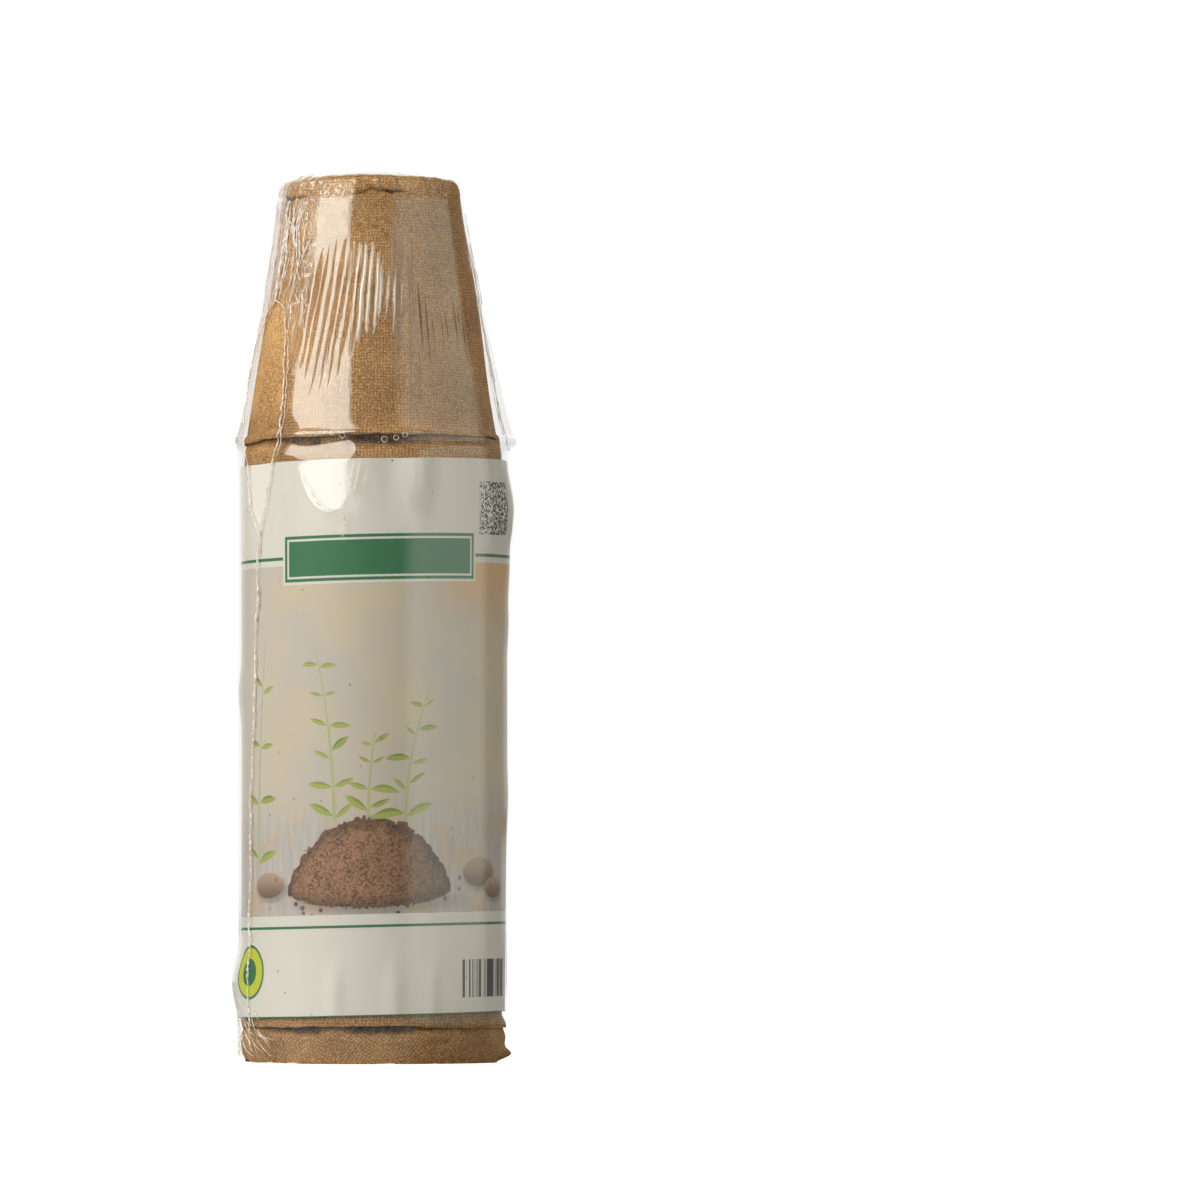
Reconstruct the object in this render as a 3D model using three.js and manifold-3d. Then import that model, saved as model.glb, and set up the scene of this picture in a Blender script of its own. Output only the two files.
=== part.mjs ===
// A pack of round moulded-fibre plant pots, nested upside down over one another,
// with a printed paper band round the stack and a clear shrink film over all of it.
// Millimetres, +Z up. The origin is on the ground under the middle of the stack,
// and the front of the paper band faces -Y.

import * as THREE from 'three';
import { mergeVertices } from 'three/addons/utils/BufferGeometryUtils.js';
import Module from 'manifold-3d';

// Pot
const POT_COUNT = 18;
const POT_HEIGHT = 60;
const RIM_RADIUS = 28.9; // outside of the wall at the rim, without the lip
const BASE_RADIUS = 19.7; // outside of the wall, carried on to the plane of the base
const WALL = 0.98; // measured level, across the stack
const BASE_THICKNESS = 1.1;
const SHOULDER_HEIGHT = 2.8; // from the base down to the crease where the shoulder meets the wall
const SHOULDER_SETBACK = 2.2; // how far the flat of the base lies inside the wall
const SHOULDER_ROUNDNESS = 0.3; // 0.5 would be a straight chamfer, and 0 a sharp corner
const LIP_FLARE = 0.5;
const LIP_HEIGHT = 1.6;
const DRAIN_DIAMETER = 5;
const NEST_GAP = 0.3; // between the wall of a pot and the pot inside it

// Paper band
const PAPER = 0.2;
const BAND_GAP = 0.35; // between the pots' lips and the paper where it buckles inwards most
const BAND_RISE = 10.9; // from the ground to the band's lower edge, at the front
const BAND_DROP = 4.9; // from the top pot's rim down to the band's upper edge, at the front
const BAND_TILT = THREE.MathUtils.degToRad(1.4); // the band climbs towards +X
const BAND_LAP = 9; // length over which the glued ends lie on one another
const BUCKLE_DEPTH = 0.15;
const BUCKLE_COUNT = 7;

// Shrink film
const FILM = 0.15;
const FILM_GAP = 0.3; // between the film and what it lies on
const FILM_HEM = 1.2; // from the ground to the film's lower edge
const EAR_REACH = 1.2; // how far the film stands out of its own tube beside the top pot's rim
const EAR_HEIGHT = 3.2; // from the fold below the ear up to the ear
const WEB_SAG = 1.6; // how far the film between base and ear hangs in from a straight line
const WEB_SHARPNESS = 24; // the higher, the narrower the web at each side
const TEAR_BEARING = THREE.MathUtils.degToRad(-65.5); // from the front towards -X
const TEAR_WIDTH = 17.6;
const TEAR_ABOVE_RIM = 32.2;
const TEAR_BELOW_RIM = 21.5;
const TEAR_BELLY = 8; // from the rim up to where the tear is widest
const TEAR_LEAN = 4.2; // how far its lower end lies towards the front
const TEAR_TAIL = 4.4; // width of the tear shortly before its lower end

// Facets
const POT_FACETS = 26;
const BAND_FACETS = 48;
const BAND_ROWS = 4;
const LAP_FACETS = 3;
const FILM_FACETS = 48;
const WEB_ROWS = 5;
const TEAR_CURVE_POINTS = 6;
const SAME_PLACE = 1e-4; // corners nearer than this are one corner
const ROUND_HANDLE = 0.5523; // handle of a curve through a quarter of an ellipse, by its half-axis

// The pots jam wall in wall, unless a thick base or a tall lip touches first.
const TAPER = (RIM_RADIUS - BASE_RADIUS) / POT_HEIGHT;
const PITCH = Math.max(
  (WALL + NEST_GAP) / TAPER,
  BASE_THICKNESS + NEST_GAP,
  LIP_HEIGHT + NEST_GAP,
);
const TOP_RIM = (POT_COUNT - 1) * PITCH;
const STACK_HEIGHT = TOP_RIM + POT_HEIGHT;

const LIP_RADIUS = RIM_RADIUS + LIP_FLARE;
const BAND_RADIUS = LIP_RADIUS + BAND_GAP + BUCKLE_DEPTH;
const BAND_OUTSIDE = BAND_RADIUS + 2 * PAPER + BUCKLE_DEPTH;
const TUBE_RADIUS = BAND_OUTSIDE + FILM_GAP;

const wasm = await Module();
wasm.setup();

function point(radius, height) {
  return new THREE.Vector2(radius, height);
}

// A solid of revolution about Z from a profile of radius and height
function turned(profile, facets) {
  return new THREE.LatheGeometry(profile, facets).rotateX(Math.PI / 2);
}

function toManifold(geometry) {
  const bare = geometry.clone();
  bare.deleteAttribute('normal');
  bare.deleteAttribute('uv');
  const merged = mergeVertices(bare, SAME_PLACE);
  return new wasm.Manifold(new wasm.Mesh({
    numProp: 3,
    vertProperties: merged.attributes.position.array,
    triVerts: merged.index.array,
  }));
}

function toGeometry(manifold) {
  const { vertProperties, triVerts } = manifold.getMesh();
  const geometry = new THREE.BufferGeometry();
  geometry.setAttribute('position', new THREE.BufferAttribute(vertProperties, 3));
  geometry.setIndex(new THREE.BufferAttribute(triVerts, 1));
  geometry.computeVertexNormals();
  return geometry;
}

function wallRadius(height) {
  return RIM_RADIUS - TAPER * height;
}

// The rounded shoulder of a pot whose base lies at the given height, grown outwards by a gap
function shoulder(base, gap) {
  const crease = wallRadius(POT_HEIGHT - SHOULDER_HEIGHT);
  const flat = crease - SHOULDER_SETBACK;
  return [
    point(crease + gap, base - SHOULDER_HEIGHT),
    point(
      crease - SHOULDER_SETBACK * SHOULDER_ROUNDNESS + gap,
      base - SHOULDER_HEIGHT * SHOULDER_ROUNDNESS + gap,
    ),
    point(flat + gap, base + gap),
  ];
}

// One pot, rim down: a thin cone with a turned-out lip, a rounded shoulder and a drain hole
function potGeometry() {
  const outside = shoulder(POT_HEIGHT, 0);
  const [crease, , flat] = outside;
  const ceiling = POT_HEIGHT - BASE_THICKNESS;
  const drain = DRAIN_DIAMETER / 2;
  return turned([
    point(RIM_RADIUS - WALL, 0),
    point(LIP_RADIUS, 0),
    point(LIP_RADIUS, LIP_HEIGHT / 2),
    point(wallRadius(LIP_HEIGHT), LIP_HEIGHT),
    ...outside,
    point(drain, POT_HEIGHT),
    point(drain, ceiling),
    point(flat.x, ceiling),
    point(crease.x - WALL, crease.y),
    point(RIM_RADIUS - WALL, 0),
  ], POT_FACETS);
}

function arc(radius, from, to, count) {
  return Array.from({ length: count + 1 }, (_, i) => {
    const angle = from + (to - from) * i / count;
    return new THREE.Vector2(radius * Math.cos(angle), radius * Math.sin(angle));
  });
}

// The paper band: a ring whose glued lap, at the back, is two papers thick
function bandGeometry() {
  const depth = TOP_RIM - BAND_DROP - BAND_RISE;
  const halfLap = BAND_LAP / BAND_RADIUS / 2;
  const back = Math.PI / 2;
  const front = back + 2 * Math.PI;
  const ring = new THREE.Shape([
    ...arc(BAND_RADIUS + PAPER, back + halfLap, front - halfLap, BAND_FACETS - LAP_FACETS),
    ...arc(BAND_RADIUS + 2 * PAPER, front - halfLap, front + halfLap, LAP_FACETS),
  ]);
  ring.holes.push(new THREE.Path(arc(BAND_RADIUS, 0, 2 * Math.PI, BAND_FACETS).slice(0, -1)));
  const geometry = new THREE.ExtrudeGeometry(ring, {
    depth,
    steps: BAND_ROWS,
    bevelEnabled: false,
  });
  geometry.translate(0, 0, BAND_RISE);
  return buckled(geometry);
}

// The paper bows in and out round the stack, and the band climbs towards +X
function buckled(geometry) {
  const position = geometry.attributes.position;
  const at = new THREE.Vector3();
  for (let i = 0; i < position.count; i += 1) {
    at.fromBufferAttribute(position, i);
    const bearing = Math.atan2(at.y, at.x);
    const radius = Math.hypot(at.x, at.y);
    const lean = Math.PI * (at.z - BAND_RISE) / TOP_RIM;
    const grow = 1 + BUCKLE_DEPTH * Math.sin(BUCKLE_COUNT * bearing + lean) / radius;
    const climb = at.x * Math.tan(BAND_TILT);
    position.setXYZ(i, at.x * grow, at.y * grow, at.z + climb);
  }
  geometry.computeVertexNormals();
  return geometry;
}

// Points down one face of the film, from the edge of the base to its lower edge. The web is 0
// where the film lies on the top pot down to its lip, and 1 where it stands off it most.
function filmSide(offset, web) {
  const [crease, bend, flat] = shoulder(STACK_HEIGHT, FILM_GAP + offset);
  const onLip = LIP_RADIUS + FILM_GAP;
  const offLip = TUBE_RADIUS + EAR_REACH;
  const ear = point(
    THREE.MathUtils.lerp(onLip, offLip, web) + offset,
    TOP_RIM + LIP_HEIGHT / 2,
  );
  const middle = crease.clone().lerp(ear, 0.5);
  const slope = new THREE.QuadraticBezierCurve(
    crease,
    point(middle.x - WEB_SAG * web, middle.y),
    ear,
  );
  return [
    flat,
    bend,
    ...slope.getPoints(WEB_ROWS),
    point(TUBE_RADIUS + offset, ear.y - EAR_HEIGHT),
    point(TUBE_RADIUS + offset, FILM_HEM),
  ];
}

// Both faces of the film, from the axis down to the lower edge and back
function filmProfile(web) {
  return [
    point(0, STACK_HEIGHT + FILM_GAP),
    ...filmSide(0, web),
    ...filmSide(FILM, web).reverse(),
    point(0, STACK_HEIGHT + FILM_GAP + FILM),
  ];
}

// The skin is turned from its profile at the front, then drawn out into a web at each side
function filmSkin() {
  const profile = filmProfile(0);
  const skin = turned(profile, FILM_FACETS);
  const position = skin.attributes.position;
  for (let i = 0; i < position.count; i += 1) {
    const bearing = Math.atan2(position.getY(i), position.getX(i));
    const web = Math.abs(Math.cos(bearing)) ** WEB_SHARPNESS;
    const at = filmProfile(web)[i % profile.length];
    position.setXYZ(i, at.x * Math.cos(bearing), at.x * Math.sin(bearing), at.y);
  }
  return skin;
}

// Half of a rounded arch, from its top or towards it
function archHandles(half) {
  const rise = TEAR_ABOVE_RIM - TEAR_BELLY;
  return [
    point(half * ROUND_HANDLE, TEAR_ABOVE_RIM),
    point(half, TEAR_BELLY + rise * ROUND_HANDLE),
  ];
}

// The tear round the height of the top pot's rim: round above, and drawn to a point below
function tearShape() {
  const half = TEAR_WIDTH / 2;
  const tail = point(TEAR_LEAN, -TEAR_BELOW_RIM);
  const bend = tail.y / 2;
  const front = archHandles(half);
  const back = archHandles(-half);
  const shape = new THREE.Shape();
  shape.moveTo(0, TEAR_ABOVE_RIM);
  shape.bezierCurveTo(...front[0], ...front[1], half, TEAR_BELLY);
  shape.bezierCurveTo(half, 0, tail.x + TEAR_TAIL / 2, bend, ...tail);
  shape.bezierCurveTo(tail.x - TEAR_TAIL / 2, bend, -half, 0, -half, TEAR_BELLY);
  shape.bezierCurveTo(...back[1], ...back[0], 0, TEAR_ABOVE_RIM);
  return shape;
}

// A prism of the tear that reaches from inside the film out past its ear, at the tear's bearing
function tearCutter() {
  const reach = TUBE_RADIUS + 2 * EAR_REACH;
  const cutter = new THREE.ExtrudeGeometry(tearShape(), {
    depth: reach,
    steps: 1,
    curveSegments: TEAR_CURVE_POINTS,
    bevelEnabled: false,
  });
  cutter.rotateX(Math.PI / 2);
  cutter.rotateZ(TEAR_BEARING);
  cutter.translate(0, 0, TOP_RIM);
  return cutter;
}

// The film: one thin skin, closed over the base of the top pot, open under the lowest one,
// standing off the top pot as a taut web at each side, and burst open at the front left
function filmGeometry() {
  return toGeometry(toManifold(filmSkin()).subtract(toManifold(tearCutter())));
}

function mesh(name, geometry, material) {
  const made = new THREE.Mesh(geometry, material);
  made.name = name;
  return made;
}

// Dry pressed fibre, a little darker towards the bottom of the stack
function fibre(share) {
  const light = new THREE.Color(0xb08a5c);
  const dark = new THREE.Color(0x94714a);
  return new THREE.MeshStandardMaterial({ color: dark.lerp(light, share), roughness: 0.95 });
}

function potStack() {
  const stack = new THREE.Group();
  for (let i = 0; i < POT_COUNT; i += 1) {
    const name = `pot_${String(i + 1).padStart(2, '0')}`;
    const pot = mesh(name, potGeometry(), fibre(i / POT_COUNT));
    pot.position.z = i * PITCH;
    stack.add(pot);
  }
  return stack;
}

function wrapping() {
  const paper = new THREE.MeshStandardMaterial({ color: 0xe9e3d6, roughness: 0.6 });
  const clear = new THREE.MeshStandardMaterial({
    color: 0xf4f6f7,
    roughness: 0.12,
    transparent: true,
    opacity: 0.25,
  });
  const wrap = new THREE.Group();
  wrap.add(mesh('paper_label', bandGeometry(), paper));
  wrap.add(mesh('film_wrap', filmGeometry(), clear));
  return wrap;
}

const pack = new THREE.Group();
pack.add(potStack(), wrapping());

export default pack;
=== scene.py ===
# Looks of a pack of nested fibre plant pots: rough pressed fibre, a printed paper band
# and a tight, clear shrink film that has split at the front left.

import math
import random

import bpy
import numpy as np
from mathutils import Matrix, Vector


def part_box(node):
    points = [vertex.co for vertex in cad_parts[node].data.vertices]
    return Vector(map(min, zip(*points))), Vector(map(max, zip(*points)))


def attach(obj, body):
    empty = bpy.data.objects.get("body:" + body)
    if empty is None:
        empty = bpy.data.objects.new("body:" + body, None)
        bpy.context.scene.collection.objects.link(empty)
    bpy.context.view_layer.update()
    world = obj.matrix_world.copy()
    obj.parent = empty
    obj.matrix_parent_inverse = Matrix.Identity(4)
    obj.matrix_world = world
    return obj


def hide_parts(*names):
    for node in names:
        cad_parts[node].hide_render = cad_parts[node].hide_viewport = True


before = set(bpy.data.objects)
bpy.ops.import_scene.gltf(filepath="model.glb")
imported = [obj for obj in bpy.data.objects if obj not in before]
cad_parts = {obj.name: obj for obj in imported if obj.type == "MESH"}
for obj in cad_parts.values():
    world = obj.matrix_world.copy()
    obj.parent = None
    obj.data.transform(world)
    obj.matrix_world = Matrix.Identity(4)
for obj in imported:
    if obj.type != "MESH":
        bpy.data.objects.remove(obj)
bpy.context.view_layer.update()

MM = 0.001
RANDOM = random.Random(18)


# Places and sizes

POTS = sorted(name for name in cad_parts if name.startswith("pot_"))
POT_COUNT = len(POTS)
pot_low, pot_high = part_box(POTS[0])
POT_HEIGHT = pot_high.z - pot_low.z
LIP_RADIUS = (pot_high.y - pot_low.y) / 2
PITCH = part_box(POTS[1])[0].z - pot_low.z
TOP_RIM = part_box(POTS[-1])[0].z
TOP_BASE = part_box(POTS[-1])[1].z

RIM_RADIUS = LIP_RADIUS - 0.5 * MM
BASE_RADIUS = 19.7 * MM
WALL = 0.95 * MM
SHOULDER_HEIGHT = 2.8 * MM
SHOULDER_INSET = 1.7 * MM
CREASE = POT_HEIGHT - SHOULDER_HEIGHT
DRAIN_RADIUS = 2.5 * MM
TAPER = (RIM_RADIUS - BASE_RADIUS) / POT_HEIGHT

band_low, band_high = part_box("paper_label")
BAND_SLOPE = math.tan(math.radians(1.4))
BAND_CLIMB = band_high.x * BAND_SLOPE
BAND_BOTTOM = band_low.z + BAND_CLIMB
BAND_TOP = band_high.z - BAND_CLIMB
BAND_RADIUS = 30.15 * MM
PAPER = 0.12 * MM

FILM = 0.04 * MM
FILM_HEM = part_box("film_wrap")[0].z
FILM_SLACK = 0.3 * MM
FILM_TOP = TOP_BASE + 3.1 * FILM_SLACK
TUBE_RADIUS = 30.75 * MM

# Camera of the photograph, from pixels of its 1200-pixel frame

PHOTO_SIDE = 1200
FOCAL_PIXELS = 8714
STACK_PIXEL_X = 373
EYE_PIXEL_Y = 918
EYE_HEIGHT = 33 * MM
CAMERA_DISTANCE = 2.0
SENSOR = 36


# Small helpers

CRISP_ANGLE = math.radians(50)


def deselect():
    if bpy.context.mode != "OBJECT":
        bpy.ops.object.mode_set(mode="OBJECT")
    bpy.ops.object.select_all(action="DESELECT")


def choose(piece):
    deselect()
    piece.select_set(True)
    bpy.context.view_layer.objects.active = piece


def raise_profile(name, profile, facets, closed_top):
    """A surface of revolution: a circle, extruded and resized up a profile of radius and height."""
    deselect()
    radius, height = profile[0]
    bpy.ops.mesh.primitive_circle_add(vertices=facets, radius=radius, location=(0, 0, height))
    piece = bpy.context.object
    piece.name = name
    bpy.ops.object.mode_set(mode="EDIT")
    bpy.ops.mesh.select_all(action="SELECT")
    for next_radius, next_height in profile[1:]:
        bpy.ops.mesh.extrude_region_move(TRANSFORM_OT_translate={"value": (0, 0, next_height - height)})
        grow = next_radius / radius
        bpy.ops.transform.resize(value=(grow, grow, 1), center_override=(0, 0, next_height))
        radius, height = next_radius, next_height
    if closed_top:
        bpy.ops.mesh.merge(type="CENTER")
    bpy.ops.mesh.select_all(action="SELECT")
    bpy.ops.mesh.normals_make_consistent(inside=False)
    bpy.ops.object.mode_set(mode="OBJECT")
    bpy.ops.object.transform_apply(location=True, rotation=True, scale=True)
    return piece


def spread(start, end, count):
    """Even steps from a start to an end, without the start itself."""
    return [start + (end - start) * ring / count for ring in range(1, count + 1)]


def get_points(piece):
    points = np.empty(len(piece.data.vertices) * 3)
    piece.data.vertices.foreach_get("co", points)
    return points.reshape(-1, 3)


def set_points(piece, points):
    piece.data.vertices.foreach_set("co", points.ravel())
    piece.data.update()


def polar(points):
    """Bearing from the front, positive towards +X, and distance from the stack's axis."""
    return np.arctan2(points[:, 0], -points[:, 1]), np.hypot(points[:, 0], points[:, 1])


def place(bearing, radius, height):
    return np.stack([radius * np.sin(bearing), -radius * np.cos(bearing), height], axis=1)


def read(items, attribute, kind, per_item=1):
    values = np.empty(len(items) * per_item, dtype=kind)
    items.foreach_get(attribute, values)
    return values


def unroll(piece, turn=0.0, radius=TUBE_RADIUS, slope=0.0, bottom=0.0):
    """A UV map in millimetres: along the girth from the front, and up. Flat tops are mapped from above."""
    mesh = piece.data
    layer = mesh.uv_layers.new(name="surface")
    points = get_points(piece)
    bearing, _ = polar(points)
    corner_vertex = read(mesh.loops, "vertex_index", np.int64)
    starts = read(mesh.polygons, "loop_start", np.int64)
    counts = read(mesh.polygons, "loop_total", np.int64)
    normals = read(mesh.polygons, "normal", np.float64, 3).reshape(-1, 3)
    flat = np.repeat(np.abs(normals[:, 2]) > 0.8, counts)
    face = np.repeat(np.arange(len(counts)), counts)
    at = bearing[corner_vertex]
    wraps = (np.maximum.reduceat(at, starts) - np.minimum.reduceat(at, starts) > math.pi)[face]
    at = np.where(wraps & (at < 0), at + 2 * math.pi, at)
    x, y, z = points[corner_vertex].T
    u = np.where(flat, x, at * radius)
    v = np.where(flat, y, z - bottom - x * slope)
    c, s = math.cos(turn), math.sin(turn)
    uv = np.stack([c * u - s * v, s * u + c * v], axis=1) / MM
    layer.data.foreach_set("uv", uv.ravel())


def waves(angle, seed, orders, softness=1.0):
    """A smooth closed ripple between -1 and 1 round the girth, from a few whole numbers of waves."""
    draw = random.Random(seed)
    total = np.zeros_like(angle)
    weight = 0.0
    for order in orders:
        share = order ** -softness
        total += share * np.sin(order * angle + draw.uniform(0, 2 * math.pi))
        weight += share
    return total / weight


def turn_from(bearing, at, wide):
    """Turn from a place, the short way round, by its half-width; both are given in degrees."""
    return np.angle(np.exp(1j * (bearing - math.radians(at)))) / math.radians(wide)


def swell(bearing, height, bumps):
    """Rounded bumps: bearing and half-width in degrees, height, half-height and rise in millimetres."""
    total = np.zeros_like(bearing)
    for at, wide, level, tall, rise in bumps:
        climb = (height / MM - level) / tall
        total += rise * MM * np.exp(-turn_from(bearing, at, wide) ** 2 - climb ** 2)
    return total


def by_bearing(bearing, table):
    """A value between those of a table of bearings in degrees and values."""
    at, value = zip(*table)
    return np.interp(np.degrees(bearing), at, value)


def at_sides(bearing):
    """1 at the two sides of the stack, and 0 in front and behind."""
    return np.exp(-(np.cos(bearing) / 0.35) ** 2)


def step(value, start, end):
    t = np.clip((value - start) / (end - start), 0, 1)
    return t * t * (3 - 2 * t)


def finish_modifier(piece, kind, **settings):
    choose(piece)
    modifier = piece.modifiers.new(kind.lower(), kind)
    for key, value in settings.items():
        setattr(modifier, key, value)
    bpy.ops.object.modifier_apply(modifier=modifier.name)


def smooth(piece):
    """Smooth faces with crisp edges, so that a thin wall keeps its normals right up to its rim."""
    choose(piece)
    bpy.ops.object.shade_smooth_by_angle(angle=CRISP_ANGLE)


def dress(piece, node, slot, *materials):
    """Gives a piece its materials, and the body and the node of the solids that it stands for."""
    for material in materials:
        piece.data.materials.append(material)
    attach(piece, node)
    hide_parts(node)


# Shader helpers

class Value:
    """One output of a node. Arithmetic on it adds maths nodes to its graph."""

    def __init__(self, graph, socket):
        self.graph = graph
        self.socket = socket

    def __add__(self, other):
        return self.graph.math("ADD", self, other)

    def __radd__(self, other):
        return self.graph.math("ADD", other, self)

    def __sub__(self, other):
        return self.graph.math("SUBTRACT", self, other)

    def __rsub__(self, other):
        return self.graph.math("SUBTRACT", other, self)

    def __mul__(self, other):
        return self.graph.math("MULTIPLY", self, other)

    def __rmul__(self, other):
        return self.graph.math("MULTIPLY", other, self)

    def __truediv__(self, other):
        return self.graph.math("DIVIDE", self, other)

    def __rtruediv__(self, other):
        return self.graph.math("DIVIDE", other, self)

    def __pow__(self, other):
        return self.graph.math("POWER", self, other)

    def __abs__(self):
        return self.graph.math("ABSOLUTE", self)


class Graph:
    """Short ways to add nodes to one tree."""

    def __init__(self, tree):
        self.tree = tree
        self.nodes = tree.nodes
        self.links = tree.links

    def feed(self, socket, value):
        if isinstance(value, Value):
            self.links.new(value.socket, socket)
        else:
            socket.default_value = value

    def node(self, kind, output, inputs=(), **settings):
        """Adds a node, feeds its inputs in order or by name, and gives one of its outputs."""
        node = self.nodes.new("ShaderNode" + kind)
        for key, setting in settings.items():
            setattr(node, key, setting)
        for key, value in inputs.items() if isinstance(inputs, dict) else enumerate(inputs):
            self.feed(node.inputs[key], value)
        return Value(self, node.outputs[output])

    def math(self, operation, *values, clamp=False):
        return self.node("Math", 0, values, operation=operation, use_clamp=clamp)

    def largest(self, first, *others):
        for other in others:
            first = self.math("MAXIMUM", first, other)
        return first

    def vector(self, operation, *values):
        return self.node("VectorMath", 0, values, operation=operation)

    def vector_length(self, vector):
        return self.node("VectorMath", "Value", [vector], operation="LENGTH")

    def split(self, vector):
        node = self.nodes.new("ShaderNodeSeparateXYZ")
        self.feed(node.inputs[0], vector)
        return [Value(self, socket) for socket in node.outputs]

    def join(self, x, y, z=0.0):
        return self.node("CombineXYZ", 0, (x, y, z))

    def span(self, value, low, high, start=0.0, end=1.0):
        """A smooth step from a start to an end while the value goes from low to high."""
        return self.node("MapRange", 0, (value, low, high, start, end), interpolation_type="SMOOTHSTEP")

    def fade(self, mask, least):
        """1 outside a mask, and least where it is full."""
        return self.span(mask, 0.0, 1.0, 1.0, least)

    def noise(self, vector, scale, detail=2.0, roughness=0.5):
        inputs = {"Vector": vector, "Scale": scale, "Detail": detail, "Roughness": roughness}
        return self.node("TexNoise", "Fac", inputs)

    def cells(self, vector, scale, feature="F1", output="Distance"):
        return self.node("TexVoronoi", output, {"Vector": vector, "Scale": scale}, feature=feature)

    def cell_chance(self, vector, scale):
        """An even random number for each cell."""
        return self.split(self.cells(vector, scale, output="Color"))[0]

    def random(self, vector):
        """Three even random numbers for each whole number or pair of them."""
        return self.split(self.node("TexWhiteNoise", "Color", {"Vector": vector}, noise_dimensions="3D"))

    def mix(self, amount, first, second):
        return self.node("Mix", 2, {0: amount, 6: first, 7: second}, data_type="RGBA")

    def paint(self, colour, *coats):
        """Coats over one another, each given as its share and its colour."""
        for share, tone in coats:
            colour = self.mix(share, colour, tone)
        return colour

    def bump(self, height, distance, strength=1.0, normal=None):
        inputs = {"Height": height, "Distance": distance, "Strength": strength}
        if normal is not None:
            inputs["Normal"] = normal
        return self.node("Bump", 0, inputs)

    def band(self, value, low, high, soft=0.06):
        """A mask that is 1 between two values."""
        return self.span(value - low, -soft, soft) * self.span(high - value, -soft, soft)

    def box(self, u, v, left, right, low, high, soft=0.06):
        return self.band(u, left, right, soft) * self.band(v, low, high, soft)

    def oval(self, u, v, x, y, wide, tall, soft=0.02):
        reach = self.vector_length(self.join((u - x) / wide, (v - y) / tall))
        return self.span(reach, 1 + soft, 1 - soft)

    def uv(self):
        return self.node("UVMap", 0, uv_map="surface")

    def object_point(self):
        return self.node("TexCoord", "Object")

    def place(self, group, **values):
        """Adds a shared effect, and gives its outputs by name."""
        node = self.nodes.new("ShaderNodeGroup")
        node.node_tree = group
        for label, value in values.items():
            self.feed(node.inputs[label], value)
        return {socket.name: Value(self, socket) for socket in node.outputs}

    def close(self, **values):
        """Ends a shared effect with its outputs, all of them numbers, and gives its tree."""
        for label in values:
            self.tree.interface.new_socket(label, in_out="OUTPUT", socket_type="NodeSocketFloat")
        end = self.nodes.new("NodeGroupOutput")
        for label, value in values.items():
            self.feed(end.inputs[label], value)
        return self.tree

    def shade(self, **values):
        """Feeds the material's shader, whose inputs are named with _ for each space."""
        shader = self.nodes["Principled BSDF"]
        for label, value in values.items():
            self.feed(shader.inputs[label.replace("_", " ")], value)


def new_group(name, **inputs):
    """The graph of a shared effect and its inputs: a number is an input's own value, None makes a vector."""
    tree = bpy.data.node_groups.new(name, "ShaderNodeTree")
    for label, value in inputs.items():
        kind = "NodeSocketVector" if value is None else "NodeSocketFloat"
        socket = tree.interface.new_socket(label, in_out="INPUT", socket_type=kind)
        if value is not None:
            socket.default_value = value
    g = Graph(tree)
    start = tree.nodes.new("NodeGroupInput")
    return g, [Value(g, start.outputs[label]) for label in inputs]


def new_material(name):
    material = bpy.data.materials.new(name)
    material.use_nodes = True
    return material, Graph(material.node_tree)


def rgb(red, green, blue):
    return (red, green, blue, 1.0)


# Shared effects

def make_fibre_grain():
    """Pressed plant fibre: grains, short dark and pale fibres, and slow patches of tone."""
    g, (point,) = new_group("fibre grain", Point=None)
    grain = g.noise(point, 2300, 3.0, 0.7)
    lumps = g.noise(point, 650, 3.0, 0.6)
    patches = g.noise(point, 70)
    specks = g.span(g.noise(g.vector("ADD", point, (1, 2, 3)), 1700), 0.66, 0.74)
    tone = grain * 0.72 + lumps * 0.1 + patches * 0.18
    return g.close(Tone=tone, Specks=specks, Height=grain * 0.75 + lumps * 0.25)


def make_mesh_imprint():
    """The print that the wire screen of the mould leaves: a fine square weave, worn away in patches."""
    g, (surface, pitch) = new_group("mesh imprint", Surface=None, Pitch=0.65)
    drift = g.noise(surface, 0.35, 3.0, 0.6) * 1.1
    shake = g.noise(g.vector("ADD", surface, (31, 17, 0)), 0.4, 3.0, 0.6) * 1.1
    u, v, _ = g.split(g.vector("ADD", surface, g.join(drift, shake)))
    turn = math.pi / pitch
    threads = (abs(g.math("SINE", u * turn)) * abs(g.math("SINE", v * turn))) ** 0.8
    presence = g.span(g.noise(surface, 0.11, 3.0, 0.6), 0.3, 0.5, 0.5, 1.0)
    return g.close(Height=threads, Presence=presence)


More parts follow.
